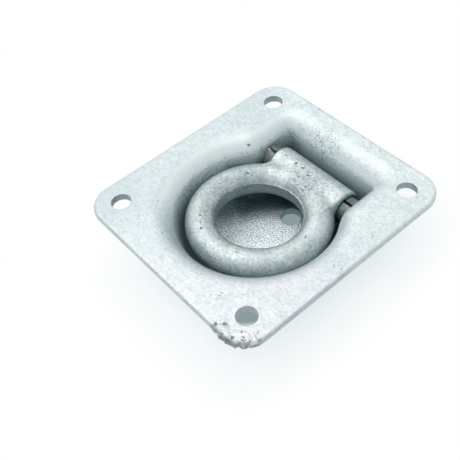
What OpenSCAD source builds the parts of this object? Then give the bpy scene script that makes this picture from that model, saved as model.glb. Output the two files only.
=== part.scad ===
// Folding lashing ring in a pressed recess plate.
// The flange sits on the deck and the recess hangs through a cut-out below it.
// Origin: middle of the bolt pattern, on the flange's underside. X runs along the hinge pin,
// Y from the free end of the ring towards the hinge, and Z up out of the deck.

/* [Sheet] */
// Thickness of the pressed sheet
sheet_t = 4; // [2.5:0.1:6]
// Distance from the foot of the bowl's lip to the plate's side edge
flange_side = 19.2; // [17:0.1:60]
// Distance from the foot of the bowl's lip to the plate's front edge
flange_front = 20.2; // [17:0.1:60]
// Distance from the foot of the pocket's lip to the plate's back edge
flange_back = 17.2; // [15:0.1:60]
// Corner radius of the plate, seen from above
plate_corner_r = 13.6; // [6:0.1:20]
// Rounding of the plate's outer edges
plate_edge_r = 1.3; // [0.3:0.1:1.9]

/* [Bolt and drain holes] */
// Diameter of the four bolt holes
bolt_d = 10; // [6:0.1:12]
// Distance from a bolt hole's centre to the side edge
bolt_inset_side = 13.4; // [11:0.1:16]
// Distance from a bolt hole's centre to the front or back edge
bolt_inset_end = 14; // [11:0.1:16]
// Diameter of the drain hole in the floor of the recess
drain_d = 11; // [5:0.1:16]
// Distance from the drain hole's centre to the hinge pin, seen from above
drain_to_pin = 15.1; // [10:0.1:30]

/* [Recess] */
// Radius of the rolled lip, on its upper face
lip_r = 11; // [8:0.1:14]
// Lean of the recess walls from upright, in degrees
draft = 10; // [4:0.5:16]
// Radius between the bowl's wall and the floor
bowl_fillet_r = 25.6; // [10:0.1:34]
// Radius between the hinge pocket's wall and the floor
pocket_fillet_r = 11; // [5:0.1:14]
// Radius of the hinge pocket's back corners at the start of the lip, seen from above
pocket_corner_r = 14; // [13:0.1:20]
// Radius of the metal between bowl and pocket at the start of the lip, seen from above
neck_r = 3; // [1:0.1:8]

/* [Ring] */
// Thickness of the ring
ring_d = 15.5; // [10:0.1:20]
// Clear width of the ring's eye
eye_d = 43.3; // [30:0.1:60]
// Distance from the ring's centre line to the hinge pin
web_l = 6.8; // [4:0.1:10]
// Thickness of the web that fills the ring out to the barrel
web_t = 14.4; // [8:0.1:15]
// Radius of the web's hollow sides, seen from above
web_side_r = 4; // [1:0.1:8]
// Diameter of the hinge barrel
barrel_d = 18.5; // [17.5:0.1:24]
// Length of the hinge barrel
barrel_l = 49.4; // [36:0.1:70]
// Rounding of the barrel's ends
barrel_end_r = 2.6; // [0.5:0.1:4]
// Rise of the folded ring from level, in degrees
fold_rise = 3.4; // [0:0.1:5]

/* [Hinge pin] */
// Diameter of the slotted spring pin
pin_d = 14; // [8:0.1:15.5]
// Wall of the spring pin
pin_wall = 3; // [1:0.1:4]
// Width of the slot along the pin
pin_slot = 1.6; // [0.5:0.1:3]
// Turn of the slot from straight up towards the ring, in degrees
pin_slot_turn = 10; // [0:1:90]
// Chamfer on the pin's ends
pin_chamfer = 1.2; // [0.2:0.1:2]
// Depth of the pin's axis below the top of the plate
pin_depth = 17.1; // [14:0.1:26]
// Length of pin beyond the outside of the pocket's wall, at the pin's axis
pin_end_out = 1.6; // [0:0.1:6]

/* [Clearances] */
// Gap between pin and barrel, all round
pin_run_gap = 0.06; // [0.01:0.01:0.1]
// Gap between pin and the holes in the plate, all round
pin_seat_gap = 0.02; // [0.01:0.01:0.05]
// Gap between each barrel end and the foot of the pocket's lip
barrel_side_gap = 6.1; // [4.5:0.1:12]
// Gap between the barrel and the foot of the pocket's back lip
barrel_back_gap = 5.15; // [2:0.05:12]
// Gap between the barrel and the floor
barrel_floor_gap = 4; // [1:0.1:8]
// Gap between the ring and the foot of the bowl's lip
ring_side_gap = 3.65; // [2.5:0.05:12]
// Distance by which the bowl's centre lies in front of the level ring's centre
bowl_shift = 1.2; // [0:0.1:4]

/* [Hidden] */
zinc = [0.80, 0.84, 0.85];
zinc_dull = [0.66, 0.69, 0.70];
pin_steel = [0.47, 0.45, 0.43];
past = 1;

// Ring and pin
ring_r = (eye_d + ring_d) / 2;
ring_reach = ring_r + web_l;
barrel_r = barrel_d / 2;
pin_r = pin_d / 2;

// Heights
top_z = sheet_t;
pin_z = top_z - pin_depth;
floor_z = pin_z - barrel_r - barrel_floor_gap;
recess_depth = top_z - floor_z;

// Lip: how far it reaches inwards and down before the wall starts
lip_in = lip_r * cos(draft);
lip_drop = lip_r * (1 - sin(draft));
fillet_limit = recess_depth / (1 - sin(draft)) - lip_r;
bowl_fillet = min(bowl_fillet_r, fillet_limit);
pocket_fillet = min(pocket_fillet_r, fillet_limit);

// Plan of the recess at the foot of the lip
bowl_r = ring_r + ring_d / 2 + ring_side_gap;
pin_to_bowl = ring_reach + bowl_shift;
pin_to_back = barrel_r + barrel_back_gap;
recess_l = bowl_r + pin_to_bowl + pin_to_back;
plate_w = 2 * (bowl_r + flange_side);
plate_l = flange_front + recess_l + flange_back;
bowl_y = -plate_l / 2 + flange_front + bowl_r;
pin_y = bowl_y + pin_to_bowl;

// Plan of the recess at the start of the lip
mouth_r = bowl_r + lip_in;
pocket_half_w = barrel_l / 2 + barrel_side_gap + lip_in;
back_y = pin_y + pin_to_back + lip_in;
neck_x = pocket_half_w + neck_r;
neck_y = bowl_y + sqrt(pow(mouth_r + neck_r, 2) - pow(neck_x, 2));
neck_turn = atan2(neck_y - bowl_y, neck_x);
corner_least = 2;

// Pin
wall_drop = max(0, -lip_drop - (pin_z - top_z));
wall_x = barrel_l / 2 + barrel_side_gap - wall_drop * tan(draft) + sheet_t / cos(draft);
pin_l = 2 * (wall_x + pin_end_out);

// Number of steps round each arc
bowl_steps = 36;
quarter_steps = 5;
neck_steps = 5;
corner_steps = 6;
lip_steps = 6;
fillet_steps = 6;
rim_steps = 8;
edge_steps = 3;
web_side_steps = 8;

// Number of steps round each full circle
hole_fn = 64;
section_fn = 64;
edge_fn = 48;
pin_fn = 96;
ring_fn = 144;

function arc(a, b, n) = [for (i = [0:n]) a + (b - a) * i / n];
function smooth(t) = let (c = max(0, min(1, t))) c * c * (3 - 2 * c);

// Stations round the recess, anticlockwise from the bowl's right side. Each names what it
// turns about, "bowl", "neck" or "corner", and gives its side and its angle.
quarter = [for (a = arc(0, neck_turn, quarter_steps)) ["bowl", 1, a]];
front = [for (a = arc(180 - neck_turn, 360, bowl_steps)) ["bowl", 1, a]];
stations = concat(
    quarter,
    [for (a = arc(180 + neck_turn, 180, neck_steps)) if (a < 180 + neck_turn) ["neck", 1, a]],
    [for (a = arc(0, 90, corner_steps)) ["corner", 1, a]],
    [for (a = arc(90, 180, corner_steps)) ["corner", -1, a]],
    [for (a = arc(0, -neck_turn, neck_steps)) if (a > -neck_turn) ["neck", -1, a]],
    [for (s = front) if (s[2] < 360) s]
);
count = len(stations);

// Point of a station after the outline has moved inwards by d
function corner_r(d) = max(corner_least, pocket_corner_r - d);
function turn_centre(s, d) =
    s[0] == "bowl" ? [0, bowl_y] :
    s[0] == "neck" ? [s[1] * neck_x, neck_y] :
    [s[1] * (pocket_half_w - d - corner_r(d)), back_y - d - corner_r(d)];
function turn_r(s, d) =
    s[0] == "bowl" ? mouth_r - d :
    s[0] == "neck" ? neck_r + d :
    corner_r(d);
function outline_xy(s, d) = turn_centre(s, d) + turn_r(s, d) * [cos(s[2]), sin(s[2])];
function outline_xyz(s, d, z) = let (p = outline_xy(s, d)) [p.x, p.y, z];

// The bowl's wide fillet changes into the pocket's tight one between the bowl's middle and the neck
change_from = (neck_y - bowl_y) / 4;
function fillet_r(s) =
    let (share = smooth((outline_xy(s, 0).y - bowl_y - change_from) / (neck_y - bowl_y - change_from)))
    bowl_fillet + (pocket_fillet - bowl_fillet) * share;
function fillet_in(s) =
    lip_in + (recess_depth - lip_drop - fillet_r(s) * (1 - sin(draft))) * tan(draft);

// Section of the sheet: t is 0 on the upper face and the sheet's thickness on the lower one
function lip_point(s, a, t) =
    outline_xyz(s, (lip_r - t) * sin(a), top_z - lip_r + (lip_r - t) * cos(a));
function fillet_point(s, a, t) =
    let (r = fillet_r(s))
    outline_xyz(s, fillet_in(s) + r * cos(draft) - (r + t) * cos(a),
                floor_z + r - (r + t) * sin(a));
function face_levels(t) = concat(
    [for (a = arc(0, 90 - draft, lip_steps)) [for (s = stations) lip_point(s, a, t)]],
    [for (a = arc(draft, 90, fillet_steps)) [for (s = stations) fillet_point(s, a, t)]]
);

// Outer edge of the plate, anticlockwise from the middle of the right side
rim_corners = [[1, 1, 0], [-1, 1, 90], [-1, -1, 180], [1, -1, 270]];
function rim_corner(c, inset) =
    let (r = plate_corner_r - inset)
    [for (a = arc(c[2], c[2] + 90, rim_steps))
        [c.x * (plate_w / 2 - plate_corner_r) + r * cos(a),
         c.y * (plate_l / 2 - plate_corner_r) + r * sin(a)]];
function rim_loop(inset) =
    concat([[plate_w / 2 - inset, bowl_y]], [for (c = rim_corners) each rim_corner(c, inset)]);
function rim_level(inset, z) = [for (p = rim_loop(inset)) [p.x, p.y, z]];
rim_levels = concat(
    [for (a = arc(90, 0, edge_steps))
        rim_level(plate_edge_r * (1 - cos(a)), sheet_t - plate_edge_r * (1 - sin(a)))],
    [for (a = arc(0, 90, edge_steps))
        rim_level(plate_edge_r * (1 - cos(a)), plate_edge_r * (1 - sin(a)))]
);
rim_count = len(rim_levels[0]);

// Faces
function strip(a, b, n, flip) =
    [for (i = [0:n - 1])
        let (j = (i + 1) % n)
        each flip ? [[a + i, b + i, b + j], [a + i, b + j, a + j]]
                  : [[a + i, a + j, b + j], [a + i, b + j, b + i]]];
function fan(middle, a, n, flip) =
    [for (i = [0:n - 1])
        let (j = (i + 1) % n)
        flip ? [middle, a + j, a + i] : [middle, a + i, a + j]];

// Triangles between two closed loops of different counts, by the shorter diagonal each time
function zip(points, a, na, b, nb, i = 0, j = 0) =
    i == na && j == nb ? [] :
    let (a0 = a + i % na,
         b0 = b + j % nb,
         a1 = a + (i + 1) % na,
         b1 = b + (j + 1) % nb,
         on_a = j == nb || (i < na && norm(points[a1] - points[b0]) < norm(points[a0] - points[b1])))
    concat([on_a ? [a0, a1, b0] : [a0, b1, b0]],
           zip(points, a, na, b, nb, on_a ? i + 1 : i, on_a ? j : j + 1));
function flipped(triangles) = [for (t = triangles) [t[0], t[2], t[1]]];

module pressed_sheet() {
    upper = face_levels(0);
    lower = face_levels(sheet_t);
    levels = len(upper);
    lower0 = levels * count;
    rim0 = 2 * levels * count;
    rim_last = rim0 + (len(rim_levels) - 1) * rim_count;
    middle0 = rim_last + rim_count;
    middles = [for (z = [floor_z, floor_z - sheet_t]) [0, pin_y - drain_to_pin, z]];
    points = [for (loop = concat(upper, lower, rim_levels, [middles])) each loop];
    faces = concat(
        [for (k = [0:levels - 2]) each strip(k * count, (k + 1) * count, count, true)],
        [for (k = [0:levels - 2])
            each strip(lower0 + k * count, lower0 + (k + 1) * count, count, false)],
        [for (k = [0:len(rim_levels) - 2])
            each strip(rim0 + k * rim_count, rim0 + (k + 1) * rim_count, rim_count, false)],
        fan(middle0, (levels - 1) * count, count, true),
        fan(middle0 + 1, lower0 + (levels - 1) * count, count, false),
        flipped(zip(points, rim0, rim_count, 0, count)),
        zip(points, rim_last, rim_count, lower0, count)
    );
    polyhedron(points = points, faces = faces);
}

module bolt_holes() {
    for (sx = [-1, 1], sy = [-1, 1])
        translate([sx * (plate_w / 2 - bolt_inset_side), sy * (plate_l / 2 - bolt_inset_end), -past])
            cylinder(h = sheet_t + 2 * past, d = bolt_d, $fn = hole_fn);
}

module drain_hole() {
    translate([0, pin_y - drain_to_pin, floor_z - sheet_t - past])
        cylinder(h = sheet_t + 2 * past, d = drain_d, $fn = hole_fn);
}

module along_pin() {
    translate([0, pin_y, pin_z]) rotate([0, 90, 0]) children();
}

module base_plate() {
    color(zinc)
    difference() {
        pressed_sheet();
        bolt_holes();
        drain_hole();
        along_pin()
            cylinder(h = pin_l + 2 * past, r = pin_r + pin_seat_gap, center = true, $fn = pin_fn);
    }
}

// The ring lies flat about the hinge axis and points to -Y
module ring_body() {
    translate([0, -ring_reach, 0])
        rotate_extrude($fn = ring_fn)
            translate([ring_r, 0]) circle(d = ring_d, $fn = section_fn);
}

module barrel_body() {
    rotate([0, 90, 0])
        rotate_extrude($fn = pin_fn)
            intersection() {
                translate([0, -barrel_l / 2]) square([barrel_r, barrel_l]);
                union() {
                    translate([0, -barrel_l / 2]) square([barrel_r - barrel_end_r, barrel_l]);
                    translate([0, barrel_end_r - barrel_l / 2])
                        square([barrel_r, barrel_l - 2 * barrel_end_r]);
                    for (end = [-1, 1])
                        translate([barrel_r - barrel_end_r, end * (barrel_l / 2 - barrel_end_r)])
                            circle(r = barrel_end_r, $fn = edge_fn);
                }
            }
}

// Flat web between the ring's centre line and the hinge axis, with hollow sides
module web_body() {
    outer_r = ring_r + ring_d / 2;
    side_x = barrel_l / 2 - barrel_end_r;
    hollow_y = -ring_reach + sqrt(pow(outer_r + web_side_r, 2) - pow(side_x + web_side_r, 2));
    hollow_turn = atan2(hollow_y + ring_reach, side_x + web_side_r);
    side = [for (a = arc(180 + hollow_turn, 180, web_side_steps))
        [side_x + web_side_r + web_side_r * cos(a), hollow_y + web_side_r * sin(a)]];
    outline = concat(
        [[0, -ring_reach]],
        side,
        [[side_x, 0], [-side_x, 0]],
        [for (i = [len(side) - 1:-1:0]) [-side[i].x, side[i].y]]
    );
    translate([0, 0, -web_t / 2])
        linear_extrude(height = web_t)
            difference() {
                polygon(outline);
                translate([0, -ring_reach]) circle(r = ring_r, $fn = ring_fn);
            }
}

module lashing_ring() {
    color(zinc_dull)
    translate([0, pin_y, pin_z])
        rotate([-fold_rise, 0, 0])
            difference() {
                union() {
                    ring_body();
                    barrel_body();
                    web_body();
                }
                rotate([0, 90, 0])
                    cylinder(h = barrel_l + 2 * past, r = pin_r + pin_run_gap, center = true, $fn = pin_fn);
            }
}

module hinge_pin() {
    straight = pin_l - 2 * pin_chamfer;
    color(pin_steel)
    along_pin()
        difference() {
            union() {
                cylinder(h = straight, r = pin_r, center = true, $fn = pin_fn);
                for (turn = [0, 180])
                    rotate([turn, 0, 0])
                        translate([0, 0, straight / 2])
                            cylinder(h = pin_chamfer, r1 = pin_r, r2 = pin_r - pin_chamfer, $fn = pin_fn);
            }
            cylinder(h = pin_l + 2 * past, r = pin_r - pin_wall, center = true, $fn = pin_fn);
            rotate([0, 0, 180 + pin_slot_turn])
                translate([0, -pin_slot / 2, -pin_l / 2 - past])
                    cube([pin_r + past, pin_slot, pin_l + 2 * past]);
        }
}

base_plate();
lashing_ring();
hinge_pin();
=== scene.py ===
"""Folding lashing ring in a pressed recess plate: its surfaces, camera and light."""

import math

import bmesh
import bpy
import numpy as np
from mathutils import Matrix, Vector, noise
from mathutils.geometry import delaunay_2d_cdt


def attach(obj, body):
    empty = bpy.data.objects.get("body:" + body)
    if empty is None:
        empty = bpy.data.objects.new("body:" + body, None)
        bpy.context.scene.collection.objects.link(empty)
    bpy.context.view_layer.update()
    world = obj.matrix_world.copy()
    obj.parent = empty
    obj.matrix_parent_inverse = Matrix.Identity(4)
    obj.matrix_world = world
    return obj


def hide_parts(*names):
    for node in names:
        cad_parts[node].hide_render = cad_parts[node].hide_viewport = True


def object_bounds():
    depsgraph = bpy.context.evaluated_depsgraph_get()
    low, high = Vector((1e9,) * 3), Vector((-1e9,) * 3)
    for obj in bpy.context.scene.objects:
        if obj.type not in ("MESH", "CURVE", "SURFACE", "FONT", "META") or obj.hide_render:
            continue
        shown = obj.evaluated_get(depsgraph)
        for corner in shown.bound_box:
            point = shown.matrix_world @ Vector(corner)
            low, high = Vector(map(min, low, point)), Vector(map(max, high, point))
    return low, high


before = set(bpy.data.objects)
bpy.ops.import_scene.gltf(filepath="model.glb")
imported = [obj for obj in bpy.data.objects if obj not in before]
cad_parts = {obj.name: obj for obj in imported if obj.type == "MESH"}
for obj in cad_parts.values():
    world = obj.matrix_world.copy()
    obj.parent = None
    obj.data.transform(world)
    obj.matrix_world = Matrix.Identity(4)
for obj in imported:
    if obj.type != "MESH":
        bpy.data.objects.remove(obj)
cad_low, cad_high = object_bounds()

# All sizes below are in millimetres, and MM brings them to metres
MM = 0.001

# Sheet and plate
SHEET_T = 4.0
FLANGE_SIDE = 19.2
FLANGE_FRONT = 20.2
FLANGE_BACK = 17.2
PLATE_CORNER_R = 13.6
PLATE_EDGE_R = 1.3
BOLT_D = 10.0
BOLT_INSET_SIDE = 13.4
BOLT_INSET_END = 14.0
HOLE_EDGE_R = 0.15
DRAIN_D = 11.0
DRAIN_TO_PIN = 15.1

# Recess
LIP_R = 11.0
DRAFT = math.radians(10)
BOWL_FILLET_R = 25.6
POCKET_FILLET_R = 11.0
POCKET_CORNER_R = 14.0
POCKET_CORNER_LEAST = 2.0
NECK_R = 3.0

# Ring
RING_D = 15.5
EYE_D = 43.3
WEB_L = 6.8
WEB_T = 14.4
WEB_SIDE_R = 4.0
BARREL_D = 18.5
BARREL_L = 49.4
BARREL_END_R = 2.6
BORE_MOUTH_L = 1.8
BORE_MOUTH_SLOPE = 0.8
FOLD_RISE = math.radians(3.4)
BLEND_R = 3.4
WEB_BLEND_R = 2.0

# Hinge pin
PIN_D = 14.0
PIN_DEPTH = 17.1
PIN_RUN_GAP = 0.06
PIN_SEAT_GAP = 0.02

# Clearances
BARREL_SIDE_GAP = 6.1
BARREL_BACK_GAP = 5.15
BARREL_FLOOR_GAP = 4.0
RING_SIDE_GAP = 3.65
BOWL_SHIFT = 1.2

# Worked out from the sizes above
RING_R = (EYE_D + RING_D) / 2
RING_REACH = RING_R + WEB_L
PIN_Z = SHEET_T - PIN_DEPTH
FLOOR_Z = PIN_Z - BARREL_D / 2 - BARREL_FLOOR_GAP
RECESS_DEPTH = SHEET_T - FLOOR_Z
LIP_IN = LIP_R * math.cos(DRAFT)
LIP_DROP = LIP_R * (1 - math.sin(DRAFT))
BOWL_R = RING_R + RING_D / 2 + RING_SIDE_GAP
PIN_TO_BOWL = RING_REACH + BOWL_SHIFT
PIN_TO_BACK = BARREL_D / 2 + BARREL_BACK_GAP
PLATE_W = 2 * (BOWL_R + FLANGE_SIDE)
PLATE_L = FLANGE_FRONT + BOWL_R + PIN_TO_BOWL + PIN_TO_BACK + FLANGE_BACK
BOLT_X = PLATE_W / 2 - BOLT_INSET_SIDE
BOLT_Y = PLATE_L / 2 - BOLT_INSET_END
BOWL_Y = -PLATE_L / 2 + FLANGE_FRONT + BOWL_R
PIN_Y = BOWL_Y + PIN_TO_BOWL
DRAIN_Y = PIN_Y - DRAIN_TO_PIN
MOUTH_R = BOWL_R + LIP_IN
POCKET_HALF_W = BARREL_L / 2 + BARREL_SIDE_GAP + LIP_IN
BACK_Y = PIN_Y + PIN_TO_BACK + LIP_IN
NECK_X = POCKET_HALF_W + NECK_R
NECK_Y = BOWL_Y + math.sqrt((MOUTH_R + NECK_R) ** 2 - NECK_X ** 2)
NECK_TURN = math.atan2(NECK_Y - BOWL_Y, NECK_X)
CHANGE_FROM = (NECK_Y - BOWL_Y) / 4

# Fineness of the meshes
OUTLINE_STEP = 0.9
LIP_STEPS = 16
FILLET_STEPS = 26
FLANGE_STEP = 1.3
DRIP_STEP = 0.45
RIM_STEP = 0.45
EDGE_STEPS = 5
GRID_CLEARANCE = 0.7 * DRIP_STEP
HOLE_SEGMENTS = 96
HOLE_EDGE_POINTS = 4
CUT_PAST = 1.0
RING_START_SEGMENTS = 96
TUBE_START_SEGMENTS = 32
BARREL_START_SEGMENTS = 64
RING_START_EXCESS = 0.3
RING_VOXEL = 0.44
RING_PASSES = 8
LEAST_SLOPE = 0.05
SLOPE_STEP = 0.02
SHARP_EDGE = math.radians(32)
RING_SHARP_EDGE = math.radians(50)

# Tolerances for points that merge and faces that vanish, in metres, and for flats, in millimetres
MERGE_DISTANCE = 2e-6
FACE_TOLERANCE = 1e-7
FLAT_TOLERANCE = 1e-7

# Zinc drips round the corner at the right front
DRIP_MIDDLE = (51.0, -63.0)
DRIP_REACH = 15.0
DRIP_BAND = 7.5
DRIP_HEIGHT = 0.95
DRIP_LOWEST_Z = -0.5
DRIP_REACH_FADE = (0.55 * DRIP_REACH, 0.95 * DRIP_REACH)
DRIP_BAND_FADE = (0.3 * DRIP_BAND, DRIP_BAND)
DRIP_LIFT = 0.25
DRIP_LIMITS = (-0.35, 1.4)

# Lumps of the drips, each (size, seed, weight), where dark pits lie between them, and where painted
# shade lies below them and along the outermost edge
DRIP_LUMPS = [(3.2, 1, 0.9), (1.1, 2, 0.45)]
LUMP_ROUGHNESS = 0.8
LUMP_DETAIL_STEP = 2.1
LUMP_DETAILS = 4
SEED_SHIFT = (17.3, 9.1, 4.7)
CREASE_LUMPS = (0.18, 0.40)
UNDERSIDE_HEIGHTS = (-2.4, -1.0)
OUTERMOST_INSETS = (0.3, 1.5)
OUTERMOST_LUMPS = (-0.9, 0.0)
LOW_PAINTED_SHADE_SHARE = 0.8
PIT_DRIP_SHARES = (0.05, 0.5)

# Burr and sheared band on the inner wall of the eye, the band darkened with painted shade
BURR_Z = 3.0
BURR_HEIGHT = 0.45
BURR_WIDTH = 0.33
BAND_CUT = 0.12
BAND_EDGE_INSIDE = 0.5
BAND_EDGE_OUTSIDE = 0.1
EYE_WALL_R = RING_R - RING_D * 0.3
HINGE_SIDE_SLANT = 0.6
HINGE_SIDE_FADE = (-8, 14)

# Camera, as fitted to the plate's edges and holes in the photograph
IMAGE_SIZE = 460
FOCAL_PX = 742.38
SENSOR_MM = 36.0
CAMERA_AZIMUTH = math.radians(55.39)
CAMERA_ELEVATION = math.radians(49.59)
CAMERA_ROLL = math.radians(-8.06)
CAMERA_DISTANCE = 346.65
CAMERA_TARGET = (5.36, -24.91, 4.0)
CLIP_START_M = 0.01

# Marks on the plate and pits in the ring, each (x, y, z, radius), as the photograph shows them
PLATE_MARKS = [
    (29.9, -51.2, 4.0, 0.5),
    (30.4, -52.8, 4.0, 0.55),
    (31.0, -54.6, 4.0, 0.45),
    (-34.5, 22.1, -0.1, 0.7),
    (-24.4, 64.3, 3.8, 0.7),
    (47.8, -19.6, 3.8, 0.5),
    (46.2, -65.3, 2.6, 1.4),
    (48.6, -65.2, 1.8, 1.1),
    (51.0, -57.8, 4.2, 0.6),
    (57.6, -60.3, 1.6, 0.9),
    (19.3, 62.6, 4.0, 0.6),
    (-34.4, -37.5, 3.3, 0.45),
    (-16.7, -48.5, 3.2, 0.4),
    (-32.6, -50.3, 4.0, 0.4),
    (15.4, -50.8, 3.7, 0.4),
    (53.7, -5.5, 4.0, 0.45),
    (57.4, -4.8, 4.0, 0.45),
    (54.3, 18.6, 4.0, 0.5),
]
ZINC_DULL_PATCHES = [
    (-60.0, -58.0, 4.0, 38.0),
    (52.0, -5.0, 4.0, 11.0),
]
SPECK_CLUSTER = (-8.0, 49.3, -1.4, 15.0)
RING_PITS = [
    (-9.4, -31.3, -1.6, 0.72),
    (-16.4, -26.2, -1.8, 0.56),
    (-12.8, -29.2, -1.6, 0.48),
    (-23.4, 10.4, -4.5, 0.72),
    (13.8, -28.6, -1.7, 0.48),
    (28.9, 1.3, -3.4, 0.56),
    (-10.1, 32.5, -3.9, 0.80),
    (-4.9, 32.5, -3.9, 0.56),
    (0.6, 30.5, -4.3, 0.56),
    (-2.1, 26.8, -5.0, 0.48),
    (4.9, 24.9, -5.0, 0.48),
    (4.0, 30.1, -4.5, 0.40),
    (-18.0, 32.9, -3.9, 0.48),
]
# Patches of painted shade on the ring, each (x, y, z, radius)
RING_PAINTED_SHADE_PATCHES = [
    (-19.0, 9.0, -7.0, 13.0),
    (2.0, 24.5, -5.3, 10.0),
]
# Patches of painted light along the ring's right side, each (x, y, z, radius)
RING_PAINTED_LIGHT_PATCHES = [
    (27.3, 9.0, -4.1, 11.0),
    (26.0, -6.0, -3.2, 9.0),
]
RING_SPECK_CLUSTERS = [
    (3.0, 28.0, -4.5, 14.0),
    (-29.0, -8.0, -3.0, 10.0),
]
PATCH_CORE = 0.4

# Directions seen from above
LEFT_BACK = (-0.82, 0.57)
RIGHT_BACK = (0.57, 0.82)

# Where the tones of the plate change: its painted shade, painted highlight, painted wall light and
# cracks. Depths lie below the top of the flange
LEFT_BACK_FADE = (-25, 5)
BACK_WALL_Y = (30, 42)
BACK_WALL_X = (-32, -16)
BACK_WALL_SHADE_DROP = 5
WALL_SHADE_DEPTHS = (9, 19)
WALL_SHADE_RADII = (20, 32)
WALL_SHADE = 1.6
FLOOR_SHADE_DEPTHS = (22, 28)
FLOOR_SHADE_RADII = (18, 30)
FLOOR_SHADE = 1.5
BRIGHT_FLOOR_MIDDLE = (7.7, -5.6)
BRIGHT_FLOOR_STRETCH = 0.5
NEAR_LIP_START = (0.0, 3.5)
NEAR_LIP_END = (8, 12)
NEAR_LIP_SHADE = 0.8
NEAR_LIP_RIGHT_Y = (-20, 5)
NEAR_LIP_RIGHT_LOSS = 0.6
HOLE_WALL_MARGIN = 0.1
HOLE_SHADE = 0.75
LIP_START = (0.0, 1.5)
LIP_END = (7, 13)
LEFT_LIP_X = (-38, -25)
BEND_START = (4, 9)
BEND_END = (14, 24)
EDGE_START = 0.1
NEAR_EDGE_SHARE = 0.35

# Where the ring's painted shade changes, from its own middle height and from the barrel's ends
RING_SHADE_DEPTHS = (-5, 4)
BARREL_END_ALONG = (BARREL_L / 2 - 2.4, BARREL_L / 2 - 0.6)
BARREL_END_ACROSS = (BARREL_D / 2 - 0.2, BARREL_D / 2 + 3)

# Colours
ZINC_PALE = (0.825, 0.852, 0.865)
ZINC_DULL = (0.755, 0.79, 0.80)
ZINC_LEFT = (0.63, 0.70, 0.715)
ZINC_PAINTED_WALL_LIGHT = (0.88, 0.98, 1.0)
ZINC_FLECK = (0.45, 0.53, 0.55)
ZINC_PAINTED_SHADE_AND_CRACKS = (0.12, 0.20, 0.235)
ZINC_FROST = (0.88, 0.98, 1.0)
ZINC_SHADE = (0.38, 0.52, 0.62)
ZINC_EDGE_PAINTED_SHADE = (0.28, 0.34, 0.35)
ZINC_PAINTED_HIGHLIGHT = (0.90, 0.94, 0.945)
ZINC_FRONT = (0.845, 0.815, 0.85)
ZINC_DRIP = (0.83, 0.83, 0.84)
ZINC_STAIN = (0.50, 0.54, 0.54)
ZINC_PIT_AND_PAINTED_SHADE = (0.12, 0.14, 0.15)
RING_PALE = (0.71, 0.755, 0.765)
RING_DULL = (0.54, 0.62, 0.64)
RING_PAINTED_LIGHT = (0.84, 0.89, 0.90)
RING_WARM = (0.52, 0.53, 0.49)
RING_FLECK_AND_PAINTED_SHADE = (0.27, 0.33, 0.345)
RING_PAINTED_SHADE = (0.25, 0.33, 0.36)
RING_BAND_PAINTED_SHADE = (0.36, 0.41, 0.42)
RING_BURR = (0.72, 0.75, 0.75)
PIN_PALE = (0.24, 0.26, 0.255)
PIN_DULL = (0.12, 0.13, 0.128)

# Noises are (features in a metre, detail, roughness), spreads (noise from, to, share from, to)
ZINC_CLOUDS = ((110, 4, 0.6), (0.35, 0.65))
ZINC_BLOTCHES = ((330, 5, 0.7), (0.46, 0.66, 0.0, 0.4))
ZINC_GRAIN_NOISE = (850, 3, 0.9)
ZINC_GRAIN_SPREAD = (0.38, 0.54, 0.55, 0.0)
ZINC_FROST_NOISE = (1250, 2, 0.7)
ZINC_FROST_SPREAD = (0.45, 0.57)
ZINC_SHADE_SPREAD = (0.49, 0.40, 0.0, 0.65)
ZINC_EDGE_SHADE_UNEVENNESS = ((45, 2), (0.42, 0.58, 0.3, 1.2))
ZINC_CRACK_NOISE = (480, 4, 0.75)
ZINC_CRACK_SPREAD = (0.36, 0.48, 0.42, 0.0)
ZINC_STAINS = ((420, 4, 0.75), (0.64, 0.74, 0.0, 0.55))
ZINC_SPECKS = ((950, 3, 0.8), (0.54, 0.62))
ZINC_WAVE_NOISE = (230, 3)
MARK_SHAPES = ((1500, 2), (0.3, 0.7, 0.6, 1.5))
MARK_WARP = (700, 2.2)
MARK_OUTER = 1.25
MARK_CORE = 0.5
RING_CLOUDS = ((170, 4, 0.6), (0.35, 0.65))
RING_WARMTH = ((140, 5, 0.75), (0.50, 0.62, 0.0, 0.7))
RING_GRAIN_NOISE = (700, 4, 0.8)
RING_GRAIN_SPREAD = (0.38, 0.56, 0.65, 0.0)
RING_PATCH_SHADE_SPREAD = (0.3, 0.6, 0.85, 0.4)
RING_STAINS = ((600, 5, 0.85), (0.57, 0.66, 0.0, 0.7))
RING_SPECKS = ((1000, 3, 0.85), (0.57, 0.66, 0.0, 0.55))
RING_WAVE_NOISE = (150, 3)
PIN_CLOUDS = ((400, 4, 0.7), (0.35, 0.65))
PIN_GRAIN_NOISE = (900, 3)

# Gradients along the plate, each (start, full, share there)
LEFT_GRADIENT = (20, -60, 0.5)
BACK_GRADIENT = (50, 60, 0.5)
FRONT_GRADIENT = (30, 90, 0.7)
FLOOR_GRADIENT = (-20, -25, 1.0)

# Shares of the tones where their masks are full, and two that differ off and on the back wall
DULL_PATCH_SHARE = 0.3
PAINTED_HIGHLIGHT_SHARE = 0.8
PAINTED_SHADE_SHARE = 0.92
PAINTED_SHADE_FULL = 1.5
EDGE_PAINTED_SHADE_SHARE = 0.75
DARK_MARK_SHARE = 0.9
PAINTED_WALL_LIGHT_SHARES = (0.35, 0.95)
CRACK_SHARES = (1.0, 0.4)
RING_PAINTED_LIGHT_SHARE = 0.35
RING_PAINTED_SHADE_SHARE = 0.4
BARREL_END_PAINTED_SHADE_SHARE = 0.85
BAND_PAINTED_SHADE_SHARE = 0.9
BURR_SPREAD = (0.45, 0.85)

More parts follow.
